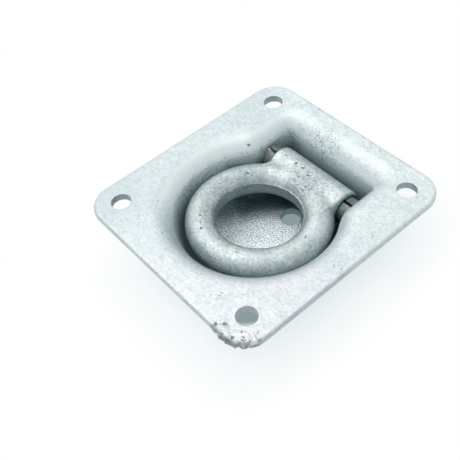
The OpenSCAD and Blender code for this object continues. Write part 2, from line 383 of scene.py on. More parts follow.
# Relief heights, and how metallic and rough each surface is, for the zinc off and on the recess floor
ZINC_WAVE_HEIGHT = 0.25
ZINC_GRAIN_HEIGHT = 0.30
ZINC_CRACK_HEIGHT = 0.9
ZINC_FROST_HEIGHT = 0.5
RING_WAVE_HEIGHT = 0.4
RING_GRAIN_HEIGHT = 0.3
RING_PIT_HEIGHT = 0.5
PIN_GRAIN_HEIGHT = 0.08
ZINC_METALLIC = (0.5, 1.0)
ZINC_ROUGHNESS = (0.42, 0.28)
RING_METALLIC = 0.6
RING_ROUGHNESS = 0.35
PIN_METALLIC = 0.5
PIN_ROUGHNESS = 0.5

# Light, and how much of the floor's white is its own as the camera sees it, and the colours of the
# floor's painted shadow
SUN_STRENGTH = 1.3
SUN_ANGLE = math.radians(60)
SUN_FROM = (-0.5, -0.1, 1.0)
SUN_COLOUR = (1.0, 0.985, 0.965)
DOME_STRENGTH = 0.5
DOME_COLOUR = (0.72, 0.95, 1.0)
FLOOR_DARK_GLOW = 0.85
FLOOR_NEAR_GLOW = 0.74
FLOOR_FAR_GLOW = 0.99
FLOOR_PAINTED_SHADOW_DARK = (0.25, 0.33, 0.34)
FLOOR_PAINTED_SHADOW_NEAR = (0.87, 0.955, 0.97)
FLOOR_DARK_X = 39.5
FLOOR_DARK_Y = 50.5
FLOOR_DARK_SHARE = 0.93
FLOOR_FAR_SHARE = 1.8
FLOOR_SHADOW_MIDDLE = (5.0, 4.0)
FLOOR_CORNER_POWER = 4.0
FLOOR_FADE_POWER = 0.6
FLOOR_SIZE_M = 6
FLOOR_COLOUR = (0.93, 0.94, 0.945, 1)
FLOOR_ROUGHNESS = 0.9
WHITE = (1.0, 1.0, 1.0)


# Recess outline

def outline_stations():
    """Stations round the recess, anticlockwise from the bowl's right side: kind, side, angle."""
    def sweep(kind, side, start, end, radius):
        steps = max(6, math.ceil(abs(end - start) * radius / OUTLINE_STEP))
        return [(kind, side, start + (end - start) * i / steps) for i in range(steps)]

    half = math.pi / 2
    return (
        sweep("bowl", 1, 0, NECK_TURN, MOUTH_R)
        + sweep("neck", 1, math.pi + NECK_TURN, math.pi, MOUTH_R - BOWL_R)
        + straight_side(1)
        + sweep("corner", 1, 0, half, POCKET_CORNER_R)
        + straight_back()
        + sweep("corner", -1, half, math.pi, POCKET_CORNER_R)
        + straight_side(-1)
        + sweep("neck", -1, 0, -NECK_TURN, MOUTH_R - BOWL_R)
        + sweep("bowl", 1, math.pi - NECK_TURN, 2 * math.pi, MOUTH_R)
    )


def straight_side(side):
    """Stations along one side wall of the pocket, between neck and corner."""
    length = BACK_Y - POCKET_CORNER_R - NECK_Y
    steps = max(2, math.ceil(length / OUTLINE_STEP))
    shares = [i / steps for i in range(steps)]
    if side < 0:
        shares = [1 - share for share in shares]
    return [("side", side, share) for share in shares]


def straight_back():
    """Stations along the pocket's back wall, from right to left."""
    steps = max(2, math.ceil(2 * (POCKET_HALF_W - POCKET_CORNER_R) / OUTLINE_STEP))
    return [("back", 1, i / steps) for i in range(steps)]


def corner_radius(inset):
    return max(POCKET_CORNER_LEAST, POCKET_CORNER_R - inset)


def outline_point(station, inset):
    """Point of a station after the outline has moved inwards."""
    kind, side, place = station
    r = corner_radius(inset)
    corner_x = POCKET_HALF_W - inset - r
    corner_y = BACK_Y - inset - r
    if kind == "bowl":
        centre, radius = (0, BOWL_Y), MOUTH_R - inset
    elif kind == "neck":
        centre, radius = (side * NECK_X, NECK_Y), NECK_R + inset
    elif kind == "corner":
        centre, radius = (side * corner_x, corner_y), r
    elif kind == "side":
        return side * (POCKET_HALF_W - inset), NECK_Y + (corner_y - NECK_Y) * place
    else:
        return corner_x * (1 - 2 * place), BACK_Y - inset
    return centre[0] + radius * math.cos(place), centre[1] + radius * math.sin(place)


def fillet_radius(station):
    """The bowl's wide fillet changes into the pocket's tight one along the neck."""
    y = outline_point(station, 0)[1]
    share = smooth_share(y - BOWL_Y - CHANGE_FROM, 0, NECK_Y - BOWL_Y - CHANGE_FROM)
    return BOWL_FILLET_R + (POCKET_FILLET_R - BOWL_FILLET_R) * share


def section(station, depth):
    """Points down the sheet's section at a station. depth is 0 on the upper face."""
    points = []
    for a in np.linspace(0, math.pi / 2 - DRAFT, LIP_STEPS + 1):
        inset = (LIP_R - depth) * math.sin(a)
        points.append((inset, SHEET_T - LIP_R + (LIP_R - depth) * math.cos(a)))
    r = fillet_radius(station)
    drop = RECESS_DEPTH - LIP_DROP - r * (1 - math.sin(DRAFT))
    start = LIP_IN + drop * math.tan(DRAFT)
    for a in np.linspace(DRAFT, math.pi / 2, FILLET_STEPS + 1):
        inset = start + r * math.cos(DRAFT) - (r + depth) * math.cos(a)
        points.append((inset, FLOOR_Z + r - (r + depth) * math.sin(a)))
    return points


def recess_rows(stations, depth):
    """Rows of points: one row for each level, one point for each station."""
    sections = [section(s, depth) for s in stations]
    rows = []
    for level in range(len(sections[0])):
        row = []
        for station, points in zip(stations, sections):
            inset, z = points[level]
            x, y = outline_point(station, inset)
            row.append((x, y, z))
        rows.append(np.array(row))
    return rows


# Plate mesh

def rim_row(inset, z):
    """Loop round the plate's outer edge, anticlockwise."""
    corners = [(1, 1, 0), (-1, 1, 90), (-1, -1, 180), (1, -1, 270)]
    r = PLATE_CORNER_R - inset
    points = []
    for sx, sy, turn in corners:
        cx = sx * (PLATE_W / 2 - PLATE_CORNER_R)
        cy = sy * (PLATE_L / 2 - PLATE_CORNER_R)
        steps = math.ceil(PLATE_CORNER_R * math.pi / 2 / RIM_STEP)
        for a in np.radians(np.linspace(turn, turn + 90, steps + 1)):
            points.append((cx + r * math.cos(a), cy + r * math.sin(a), z))
    loop = []
    for i, a in enumerate(points):
        b = points[(i + 1) % len(points)]
        length = math.dist(a, b)
        steps = max(1, round(length / RIM_STEP)) if length > 2 * RIM_STEP else 1
        loop += [tuple(np.array(a) + (np.array(b) - a) * k / steps) for k in range(steps)]
    return np.array(loop)


def rim_rows():
    """Loops from the upper flat, round the rounded edge, to the lower flat."""
    rows = []
    for a in np.linspace(math.pi / 2, 0, EDGE_STEPS + 1):
        rows.append((PLATE_EDGE_R * (1 - math.cos(a)), SHEET_T - PLATE_EDGE_R * (1 - math.sin(a))))
    for a in np.linspace(0, math.pi / 2, EDGE_STEPS + 1):
        rows.append((PLATE_EDGE_R * (1 - math.cos(a)), PLATE_EDGE_R * (1 - math.sin(a))))
    count = len(rim_row(0, 0))
    loops = [rim_row(inset, z) for inset, z in rows]
    assert all(len(loop) == count for loop in loops)
    return loops


def inside(points, loop):
    """Which points lie inside a closed loop, both seen from above."""
    x, y = points[:, 0:1], points[:, 1:2]
    ax, ay = loop[:, 0], loop[:, 1]
    bx, by = np.roll(ax, -1), np.roll(ay, -1)
    crosses = (ay > y) != (by > y)
    at = ax + (y - ay) / np.where(by == ay, 1, by - ay) * (bx - ax)
    return (np.count_nonzero(crosses & (x < at), axis=1) % 2) == 1


def clear_of(points, loop, gap):
    """Which points lie at least a gap away from the points of a loop."""
    nearest = np.full(len(points), np.inf)
    for p in loop:
        nearest = np.minimum(nearest, np.hypot(points[:, 0] - p[0], points[:, 1] - p[1]))
    return nearest > gap


def grid_points(half_x, half_y, step):
    """Points of a staggered grid about the origin."""
    rows = np.arange(-half_y, half_y, step * math.sqrt(3) / 2)
    points = []
    for i, y in enumerate(rows):
        xs = np.arange(-half_x, half_x, step) + (i % 2) * step / 2
        points += [(x, y) for x in xs]
    return np.array(points)


def flat_area(loops, z, keep, extra):
    """Triangles of a flat area between loops. keep tells which middles of triangles to keep."""
    points, edges = [], []
    for loop in loops:
        first = len(points)
        points += [Vector((p[0], p[1])) for p in loop]
        edges += [(first + i, first + (i + 1) % len(loop)) for i in range(len(loop))]
    points += [Vector(p) for p in extra]
    made = delaunay_2d_cdt(points, edges, [], 0, FLAT_TOLERANCE)
    flat = np.array([tuple(p) for p in made[0]])
    triangles = np.array(made[2])
    middles = flat[triangles].mean(axis=1)
    triangles = triangles[keep(middles)]
    return np.column_stack([flat, np.full(len(flat), z)]), triangles


class MeshParts:
    """Collects points and faces, in millimetres, and makes one object from them."""

    def __init__(self):
        self.points, self.faces, self.count = [], [], 0

    def add(self, points, faces):
        self.points.append(np.asarray(points, float))
        self.faces += [tuple(int(i) + self.count for i in face) for face in faces]
        self.count += len(points)

    def strip(self, rows, flip):
        n = len(rows[0])
        faces = []
        for k in range(len(rows) - 1):
            for i in range(n):
                j = (i + 1) % n
                quad = (k * n + i, k * n + j, (k + 1) * n + j, (k + 1) * n + i)
                faces.append(quad[::-1] if flip else quad)
        self.add(np.vstack(rows), faces)

    def flat(self, area, flip):
        points, triangles = area
        self.add(points, [t[::-1] if flip else t for t in triangles.tolist()])

    def build(self, name):
        mesh = bpy.data.meshes.new(name)
        mesh.from_pydata((np.vstack(self.points) * MM).tolist(), [], self.faces)
        build = bmesh.new()
        build.from_mesh(mesh)
        bmesh.ops.remove_doubles(build, verts=build.verts, dist=MERGE_DISTANCE)
        bmesh.ops.dissolve_degenerate(build, edges=build.edges, dist=FACE_TOLERANCE)
        bmesh.ops.recalc_face_normals(build, faces=build.faces)
        build.to_mesh(mesh)
        build.free()
        made = bpy.data.objects.new(name, mesh)
        bpy.context.scene.collection.objects.link(made)
        return made


def sheet_object():
    """The pressed sheet before any hole is cut."""
    stations = outline_stations()
    upper = recess_rows(stations, 0)
    lower = recess_rows(stations, SHEET_T)
    rims = rim_rows()
    parts = MeshParts()
    parts.strip(upper, False)
    parts.strip(lower, True)
    parts.strip(rims, True)

    mouth = upper[0]
    coarse = grid_points(PLATE_W / 2, PLATE_L / 2, FLANGE_STEP)
    fine = grid_points(PLATE_W / 2, PLATE_L / 2, DRIP_STEP)
    grid = np.vstack([coarse[~in_drip_corner(coarse)], fine[in_drip_corner(fine)]])
    in_rim = inside(grid, rims[0]) & clear_of(grid, rims[0], GRID_CLEARANCE)
    on_flange = in_rim & ~inside(grid, mouth) & clear_of(grid, mouth, GRID_CLEARANCE)

    def keep_flange(middles):
        return ~inside(middles, mouth) & inside(middles, rims[0])

    for rim, z, flip in ((rims[0], SHEET_T, False), (rims[-1], 0.0, True)):
        parts.flat(flat_area([rim, mouth], z, keep_flange, grid[on_flange]), flip)

    floor = upper[-1]
    on_floor = inside(grid, floor) & clear_of(grid, floor, GRID_CLEARANCE)

    def keep_floor(middles):
        return inside(middles, floor)

    for z, flip in ((FLOOR_Z, False), (FLOOR_Z - SHEET_T, True)):
        parts.flat(flat_area([floor], z, keep_floor, grid[on_floor]), flip)
    return parts.build("galvanised_plate")


def in_drip_corner(points):
    """Which points lie in the corner that carries the zinc drips."""
    return np.hypot(*(points[:, :2] - DRIP_MIDDLE).T) < DRIP_REACH


def edge_distance(points):
    """How far each point lies inside the plate's outer edge, seen from above."""
    r = PLATE_CORNER_R
    dx = np.abs(points[:, 0]) - (PLATE_W / 2 - r)
    dy = np.abs(points[:, 1]) - (PLATE_L / 2 - r)
    outside = np.hypot(np.maximum(dx, 0), np.maximum(dy, 0))
    return r - outside - np.minimum(np.maximum(dx, dy), 0)


def along(points, direction):
    """How far each point lies in a direction, seen from above."""
    return direction[0] * points[:, 0] + direction[1] * points[:, 1]


def smooth_share(values, low, high):
    t = np.clip((values - low) / (high - low), 0, 1)
    return t * t * (3 - 2 * t)


def between(values, start, end):
    """1 between two ranges of values, fading to 0 across each of them."""
    return smooth_share(values, *start) * (1 - smooth_share(values, *end))


def fractal(points, size, seed):
    """Layered noise from about -1 to 1, with features of a size in millimetres."""
    shift = Vector([seed * part for part in SEED_SHIFT])
    kind = (LUMP_ROUGHNESS, LUMP_DETAIL_STEP, LUMP_DETAILS)
    return np.array([noise.fractal(Vector(p) / size + shift, *kind) for p in points])


def read_vectors(rows, name):
    flat = np.empty(len(rows) * 3)
    rows.foreach_get(name, flat)
    return flat.reshape(-1, 3)


def mesh_points(target):
    return read_vectors(target.data.vertices, "co") / MM


def mesh_normals(target):
    return read_vectors(target.data.vertex_normals, "vector")


def set_points(target, points):
    target.data.vertices.foreach_set("co", (points * MM).ravel())
    target.data.update()


def set_mask(target, name, values):
    """Keeps a value for each point of the mesh, for the materials to read."""
    mask = target.data.attributes.new(name, "FLOAT", "POINT")
    mask.data.foreach_set("value", np.asarray(values, np.float32))


def add_drips(plate):
    """Rough zinc drips along the edge of the right front corner."""
    points = mesh_points(plate)
    normals = mesh_normals(plate)
    away = np.hypot(*(points[:, :2] - DRIP_MIDDLE).T)
    inset = edge_distance(points)
    reach = 1 - smooth_share(away, *DRIP_REACH_FADE)
    band = 1 - smooth_share(inset, *DRIP_BAND_FADE)
    share = reach * band * (points[:, 2] > DRIP_LOWEST_Z)
    where = np.nonzero(share > 0)[0]
    lumps = sum(fractal(points[where], size, seed) * weight for size, seed, weight in DRIP_LUMPS)
    height = np.zeros(len(points))
    height[where] = DRIP_HEIGHT * share[where] * np.clip(DRIP_LIFT + lumps, *DRIP_LIMITS)
    creases = smooth_share(-lumps, *CREASE_LUMPS)
    below = smooth_share(-points[where, 2], *UNDERSIDE_HEIGHTS)
    outermost = 1 - smooth_share(inset[where], *OUTERMOST_INSETS)
    outermost *= smooth_share(-lumps, *OUTERMOST_LUMPS)
    # Painted shade on the drips' lower side and along the outermost edge, kept in one mask with the
    # dark pits in the creases
    low = LOW_PAINTED_SHADE_SHARE * np.maximum(below, outermost)
    pits = np.zeros(len(points))
    pits[where] = smooth_share(share[where], *PIT_DRIP_SHARES) * np.maximum(creases, low)
    set_points(plate, points + normals * height[:, None])
    set_mask(plate, "drip", share)
    set_mask(plate, "pit_and_painted_shade", pits)


def turned_solid(profile, segments):
    """Solid of revolution about Z from a profile of (radius, height) points, bottom to top."""
    angles = np.linspace(0, 2 * math.pi, segments, endpoint=False)
    rows = [np.array([(r * math.cos(a), r * math.sin(a), z) for a in angles]) for r, z in profile]
    parts = MeshParts()
    parts.strip(rows, False)
    first = np.vstack([rows[0], [[0, 0, profile[0][1]]]])
    last = np.vstack([rows[-1], [[0, 0, profile[-1][1]]]])
    around = [(i, (i + 1) % segments, segments) for i in range(segments)]
    parts.add(first, [face[::-1] for face in around])
    parts.add(last, around)
    return parts.build("turned_solid")


def rod_along_x(radius, half_length, segments):
    """Round bar along X, with its middle at the origin."""
    rod = turned_solid([(radius, -half_length), (radius, half_length)], segments)
    rod.rotation_euler = (0, math.pi / 2, 0)
    return rod


def hole_profile(radius, low, high):
    """Profile of a round hole whose edges are slightly rounded by the zinc."""
    flare = radius + HOLE_EDGE_R
    turns = np.linspace(0, math.pi / 2, HOLE_EDGE_POINTS)
    bottom = [(flare - HOLE_EDGE_R * math.sin(a), low + HOLE_EDGE_R * (1 - math.cos(a))) for a in turns]
    top = [(r, low + high - z) for r, z in reversed(bottom)]
    return [(flare, low - CUT_PAST)] + bottom + top + [(flare, high + CUT_PAST)]


def combine(target, other, operation):
    """Joins the other solid to the target or cuts it away, and removes the other."""
    modifier = target.modifiers.new("combine", "BOOLEAN")
    modifier.operation = operation
    modifier.solver = "MANIFOLD"
    modifier.object = other
    bake_modifiers(target)
    bpy.data.objects.remove(other)


def cut(target, cutter, place=(0, 0, 0)):
    """Cuts a hole with the cutter moved to a place in millimetres."""
    cutter.location = Vector(place) * MM
    combine(target, cutter, "DIFFERENCE")


def bake_modifiers(target):
    """Replaces the object's mesh by its evaluated one."""
    depsgraph = bpy.context.evaluated_depsgraph_get()
    baked = bpy.data.meshes.new_from_object(target.evaluated_get(depsgraph))
    target.modifiers.clear()
    old = target.data
    target.data = baked
    bpy.data.meshes.remove(old)


def smooth_shade(target, angle):
    """Smooth shading, with edges over an angle kept sharp."""
    target.data.shade_smooth()
    target.data.set_sharp_from_angle(angle=angle)


def plate_object():
    plate = sheet_object()
    bolt_hole = hole_profile(BOLT_D / 2, 0, SHEET_T)
    for x in (-BOLT_X, BOLT_X):
        for y in (-BOLT_Y, BOLT_Y):
            cut(plate, turned_solid(bolt_hole, HOLE_SEGMENTS), (x, y, 0))
    drain_hole = hole_profile(DRAIN_D / 2, FLOOR_Z - SHEET_T, FLOOR_Z)
    cut(plate, turned_solid(drain_hole, HOLE_SEGMENTS), (0, DRAIN_Y, 0))
    pin_bore = rod_along_x(PIN_D / 2 + PIN_SEAT_GAP, PLATE_W / 2, HOLE_SEGMENTS)
    cut(plate, pin_bore, (0, PIN_Y, PIN_Z))
    add_drips(plate)
    add_plate_masks(plate)
    smooth_shade(plate, SHARP_EDGE)
    return plate


def plate_shade(points):
    """Painted shade: how much each point lies in the shade of the recess, on its walls, its floor and
    round the near lip. Above 1 it is darkest.
    """
    down = SHEET_T - points[:, 2]
    from_bowl = np.hypot(points[:, 0], points[:, 1] - BOWL_Y)
    wall = smooth_share(down - BACK_WALL_SHADE_DROP * back_wall_share(points), *WALL_SHADE_DEPTHS)
    wall *= smooth_share(from_bowl, *WALL_SHADE_RADII)
    away = points[:, :2] - BRIGHT_FLOOR_MIDDLE
    from_bright = np.hypot(along(away, LEFT_BACK), BRIGHT_FLOOR_STRETCH * along(away, RIGHT_BACK))
    floor = smooth_share(down, *FLOOR_SHADE_DEPTHS) * smooth_share(from_bright, *FLOOR_SHADE_RADII)
    near_lip = between(down, NEAR_LIP_START, NEAR_LIP_END) * (1 - left_back_share(points))
    near_lip *= 1 - NEAR_LIP_RIGHT_LOSS * smooth_share(points[:, 1], *NEAR_LIP_RIGHT_Y)
    return np.maximum.reduce([wall * WALL_SHADE, floor * FLOOR_SHADE, near_lip * NEAR_LIP_SHADE])


def left_back_share(points):
    return smooth_share(along(points, LEFT_BACK), *LEFT_BACK_FADE)


def back_wall_share(points):
    return smooth_share(points[:, 1], *BACK_WALL_Y) * smooth_share(points[:, 0], *BACK_WALL_X)


def in_hole(points):
    """Which points lie on the wall of the drain hole or of a bolt hole."""
    from_drain = np.hypot(points[:, 0], points[:, 1] - DRAIN_Y)
    drain_wall = (from_drain < DRAIN_D / 2 + HOLE_WALL_MARGIN) & (points[:, 2] < 0)
    from_bolt = np.hypot(np.abs(points[:, 0]) - BOLT_X, np.abs(points[:, 1]) - BOLT_Y)
    return drain_wall | (from_bolt < BOLT_D / 2 + HOLE_WALL_MARGIN)


def add_plate_masks(plate):
    """Masks of the plate's painted shade, the painted highlight on its lip, its bends and the painted
    shade on its outer edge.
    """
    points = mesh_points(plate)
    faces_up = mesh_normals(plate)[:, 2] > 0
    down = SHEET_T - points[:, 2]
    # Painted shade in the recess and on the walls of the holes
    set_mask(plate, "painted_shade", np.where(in_hole(points), HOLE_SHADE, plate_shade(points) * faces_up))
    # Painted highlight along the upper lip on the left side of the recess
    lip = between(down, LIP_START, LIP_END)
    on_left = 1 - smooth_share(points[:, 0], *LEFT_LIP_X)
    set_mask(plate, "lip", lip * faces_up * left_back_share(points) * on_left)
    set_mask(plate, "back_wall", back_wall_share(points))
    # The recess walls below the lip, where the painted wall light and the cracks go
    set_mask(plate, "bend", between(down, BEND_START, BEND_END) * faces_up)
    # Painted shade on the plate's rounded outer edge, full at the left and back, weaker at the front
    # and right
    rim = 1 - smooth_share(edge_distance(points), EDGE_START, PLATE_EDGE_R)
    at_left = points[:, 0] < -PLATE_W / 2 + PLATE_EDGE_R
    at_back = points[:, 1] > PLATE_L / 2 - PLATE_EDGE_R
    set_mask(plate, "edge", rim * np.where(at_left | at_back, 1.0, NEAR_EDGE_SHARE))


# Ring mesh, as the level surface of a blended distance

def smooth_min(a, b, radius):
    """Smaller of two distances, with a rounded join."""
    share = np.clip(0.5 + 0.5 * (b - a) / radius, 0, 1)
    return b + (a - b) * share - radius * share * (1 - share)


def torus_distance(p):
    ring = np.hypot(p[:, 0], p[:, 1] + RING_REACH) - RING_R
    return np.hypot(ring, p[:, 2]) - RING_D / 2


def barrel_distance(p):
    across = np.hypot(p[:, 1], p[:, 2]) - (BARREL_D / 2 - BARREL_END_R)
    lengthwise = np.abs(p[:, 0]) - (BARREL_L / 2 - BARREL_END_R)
    outside = np.hypot(np.maximum(across, 0), np.maximum(lengthwise, 0))
    return outside + np.minimum(np.maximum(across, lengthwise), 0) - BARREL_END_R


def web_distance(p):
    """Slab between the ring's centre line and the hinge axis, with hollow sides."""
    side_x = BARREL_L / 2 - BARREL_END_R
    outer_r = RING_R + RING_D / 2
    hollow_x = side_x + WEB_SIDE_R
    hollow_y = -RING_REACH + math.sqrt((outer_r + WEB_SIDE_R) ** 2 - hollow_x ** 2)
    x = np.abs(p[:, 0])
    from_ring = RING_R - np.hypot(x, p[:, 1] + RING_REACH)
    hollow = WEB_SIDE_R - np.hypot(x - hollow_x, p[:, 1] - hollow_y)
    plan = np.maximum.reduce([from_ring, p[:, 1], -RING_REACH - p[:, 1], x - side_x, hollow])
    return np.maximum(plan, np.abs(p[:, 2]) - WEB_T / 2)


def bore_distance(p):
    """The bore widens towards its mouths."""
    past_mouth = np.maximum(np.abs(p[:, 0]) - (BARREL_L / 2 - BORE_MOUTH_L), 0)
    radius = PIN_D / 2 + PIN_RUN_GAP + past_mouth * BORE_MOUTH_SLOPE
    return (np.hypot(p[:, 1], p[:, 2]) - radius) / math.hypot(1, BORE_MOUTH_SLOPE)


def ring_distance(p):
    body = smooth_min(torus_distance(p), barrel_distance(p), BLEND_R)
    body = smooth_min(body, web_distance(p), WEB_BLEND_R)
    return np.maximum(body, -bore_distance(p))


def distance_slope(p):
    slope = np.empty_like(p)
    for axis in range(3):
        shift = np.zeros(3)
        shift[axis] = SLOPE_STEP
        slope[:, axis] = (ring_distance(p + shift) - ring_distance(p - shift)) / (2 * SLOPE_STEP)
    return slope


def ring_start():
    """Rough union of torus and barrel to be remeshed and drawn onto the exact surface."""
    parts = MeshParts()
    turns = np.linspace(0, 2 * math.pi, RING_START_SEGMENTS, endpoint=False)
    tube_r = RING_D / 2 + RING_START_EXCESS
    rows = []
    for b in np.linspace(0, 2 * math.pi, TUBE_START_SEGMENTS, endpoint=False):
        r = RING_R + tube_r * math.cos(b)
        z = tube_r * math.sin(b)
        rows.append(np.array([(r * math.cos(a), r * math.sin(a) - RING_REACH, z) for a in turns]))
    parts.strip(rows + [rows[0]], False)
    start = parts.build("forged_ring")
    half = BARREL_L / 2 + RING_START_EXCESS
    barrel = rod_along_x(BARREL_D / 2 + RING_START_EXCESS, half, BARREL_START_SEGMENTS)
    combine(start, barrel, "UNION")
    cut(start, rod_along_x(PIN_D / 2 + PIN_RUN_GAP, 2 * half, BARREL_START_SEGMENTS))
    return start


def trim_eye(points):
    """Shears the eye's inner wall flat and leaves a burr along its upper edge. Returns both masks."""
    across = points[:, :2] + np.array([0, RING_REACH])
    from_centre = np.hypot(across[:, 0], across[:, 1])
    on_wall = from_centre < EYE_WALL_R
    toward_hinge = smooth_share(across[:, 1] + across[:, 0] * HINGE_SIDE_SLANT, *HINGE_SIDE_FADE)
    band_edge = (BURR_Z - BAND_EDGE_INSIDE, BURR_Z + BAND_EDGE_OUTSIDE)
    band = on_wall * (1 - smooth_share(np.abs(points[:, 2]), *band_edge))
    burr = on_wall * np.exp(-((points[:, 2] - BURR_Z) / BURR_WIDTH) ** 2) * toward_hinge
    move = BAND_CUT * band - BURR_HEIGHT * burr
    points[:, :2] += across / from_centre[:, None] * move[:, None]
    return band * toward_hinge, burr


def ring_object():
    ring = ring_start()
    remesh = ring.modifiers.new("remesh", "REMESH")
    remesh.mode = "VOXEL"
    remesh.voxel_size = RING_VOXEL * MM
    bake_modifiers(ring)
    points = mesh_points(ring)
    for _ in range(RING_PASSES):
        slope = distance_slope(points)
        squared = np.maximum((slope ** 2).sum(axis=1), LEAST_SLOPE)
        points -= slope * (ring_distance(points) / squared)[:, None]
    band, burr = trim_eye(points)
    from_axis = np.hypot(points[:, 1], points[:, 2])
    # Painted shade on the rounded ends of the barrel
    at_end = smooth_share(np.abs(points[:, 0]), *BARREL_END_ALONG)
    set_mask(ring, "barrel_end_painted_shade", at_end * (1 - smooth_share(from_axis, *BARREL_END_ACROSS)))
    set_points(ring, points)
    set_mask(ring, "band", band)
    set_mask(ring, "burr", burr)
    # Painted shade on the ring's lower half
    set_mask(ring, "painted_shade", smooth_share(-points[:, 2], *RING_SHADE_DEPTHS))
    smooth_shade(ring, RING_SHARP_EDGE)
    ring.data.transform(Matrix.Rotation(-FOLD_RISE, 4, "X"))
    ring.data.transform(Matrix.Translation(Vector((0, PIN_Y, PIN_Z)) * MM))
    return ring


# Materials

class Nodes:
    """Short calls to build the nodes of a material or of the world."""

    def __init__(self, owner):
        owner.use_nodes = True
        self.tree = owner.node_tree

    def new(self, kind):
        return self.tree.nodes.new(kind)

    def link(self, a, b):
        self.tree.links.new(a, b)

    def math(self, operation, a, b):
        node = self.new("ShaderNodeMath")
        node.operation = operation
        for socket, value in zip(node.inputs, (a, b)):
            if isinstance(value, (int, float)):
                socket.default_value = value
            else:
                self.link(value, socket)
        return node.outputs[0]

    def spread(self, value, low, high, to_low=0.0, to_high=1.0):
        node = self.new("ShaderNodeMapRange")
        node.inputs["From Min"].default_value = low
        node.inputs["From Max"].default_value = high
        node.inputs["To Min"].default_value = to_low
        node.inputs["To Max"].default_value = to_high
        self.link(value, node.inputs["Value"])
        return node.outputs["Result"]

    def mix(self, share, a, b):
        node = self.new("ShaderNodeMix")
        node.data_type = "RGBA"
        self.link(share, node.inputs["Factor"])
        for socket, value in ((node.inputs[6], a), (node.inputs[7], b)):
            if isinstance(value, tuple):
                socket.default_value = (*value, 1)
            else:
                self.link(value, socket)
        return node.outputs[2]


class MaterialNodes(Nodes):
    """Short calls to build a new material, whose tones depend on the place on the object."""

    def __init__(self, name):
        self.material = bpy.data.materials.new(name)
        super().__init__(self.material)
        self.shader = self.tree.nodes["Principled BSDF"]
        self.place = self.new("ShaderNodeTexCoord").outputs["Object"]

    def axis(self, name):
        """The place along one axis."""
        node = self.new("ShaderNodeSeparateXYZ")
        self.link(self.place, node.inputs[0])
        return node.outputs[name]

    def noise(self, scale, detail=3.0, roughness=0.55):
        node = self.new("ShaderNodeTexNoise")
        node.inputs["Scale"].default_value = scale
        node.inputs["Detail"].default_value = detail
        node.inputs["Roughness"].default_value = roughness
        self.link(self.place, node.inputs["Vector"])
        return node.outputs["Fac"]

    def mask(self, name):
        """A value kept for each point of the mesh."""
        node = self.new("ShaderNodeAttribute")
        node.attribute_name = name
        return node.outputs["Fac"]

    def fade(self, value, share, full=1.0):
        """A value from 0 to full, brought to 0 to a share."""
        return self.spread(value, 0, full, 0.0, share)

    def gradient(self, value, start, full, share):
        """A share that grows from a start to where it is full, both in millimetres."""
        return self.spread(value, start * MM, full * MM, 0.0, share)

    def pattern(self, noise_kind, spread):
        """A noise, spread to a share."""
        return self.spread(self.noise(*noise_kind), *spread)

    def distance(self, place, x, y, z):
        """How far a place lies from a point in millimetres."""
        node = self.new("ShaderNodeVectorMath")
        node.operation = "DISTANCE"
        self.link(place, node.inputs[0])
        node.inputs[1].default_value = (x * MM, y * MM, z * MM)
        return node.outputs["Value"]

    def warped(self, scale, reach):
        """The place on the object, shifted unevenly by up to half the reach in millimetres."""
        shift = self.new("ShaderNodeTexNoise")
        shift.inputs["Scale"].default_value = scale
        self.link(self.place, shift.inputs["Vector"])
        centred = self.new("ShaderNodeVectorMath")
        centred.operation = "SUBTRACT"
        self.link(shift.outputs["Color"], centred.inputs[0])
        centred.inputs[1].default_value = (0.5, 0.5, 0.5)
        moved = self.new("ShaderNodeVectorMath")
        moved.operation = "MULTIPLY_ADD"
        self.link(centred.outputs[0], moved.inputs[0])
        moved.inputs[1].default_value = (reach * MM,) * 3
        self.link(self.place, moved.inputs[2])
        return moved.outputs[0]

    def region(self, ball):
        """1 in the middle of a ball of (x, y, z, radius) in millimetres, fading to 0 at its radius."""
        x, y, z, radius = ball
        away = self.distance(self.place, x, y, z)
        return self.spread(away, radius * MM, radius * PATCH_CORE * MM)

    def bump(self, height, distance, under=None):
        node = self.new("ShaderNodeBump")
        node.inputs["Distance"].default_value = distance * MM
        self.link(height, node.inputs["Height"])
        if under:
            self.link(under, node.inputs["Normal"])
        return node.outputs["Normal"]


def marks(nodes, places):
    """Mask of small round marks. Each place is (x, y, z, radius) in millimetres."""
    total = None
    ragged = nodes.pattern(*MARK_SHAPES)
    warped = nodes.warped(*MARK_WARP)
    for x, y, z, radius in places:
        uneven = nodes.math("MULTIPLY", nodes.distance(warped, x, y, z), ragged)
        mark = nodes.spread(uneven, radius * MARK_OUTER * MM, radius * MARK_CORE * MM)
        total = nodes.math("MAXIMUM", total, mark) if total else mark
    return total


def flange_tone(nodes):
    """Cloudy zinc, darker to the left, paler at the back with a painted highlight over the back lip,
    and paler in the front corner.
    """
    tone = nodes.mix(nodes.pattern(*ZINC_CLOUDS), ZINC_PALE, ZINC_DULL)
    tone = nodes.mix(nodes.gradient(nodes.axis("X"), *LEFT_GRADIENT), tone, ZINC_LEFT)
    for patch in ZINC_DULL_PATCHES:
        tone = nodes.mix(nodes.fade(nodes.region(patch), DULL_PATCH_SHARE), tone, ZINC_FLECK)
    # Painted highlight over the back lip
    tone = nodes.mix(nodes.gradient(nodes.axis("Y"), *BACK_GRADIENT), tone, ZINC_PAINTED_HIGHLIGHT)
    forward = nodes.math("SUBTRACT", nodes.axis("X"), nodes.axis("Y"))
    tone = nodes.mix(nodes.gradient(forward, *FRONT_GRADIENT), tone, ZINC_FRONT)
    return nodes.mix(nodes.pattern(*ZINC_BLOTCHES), tone, ZINC_FLECK)


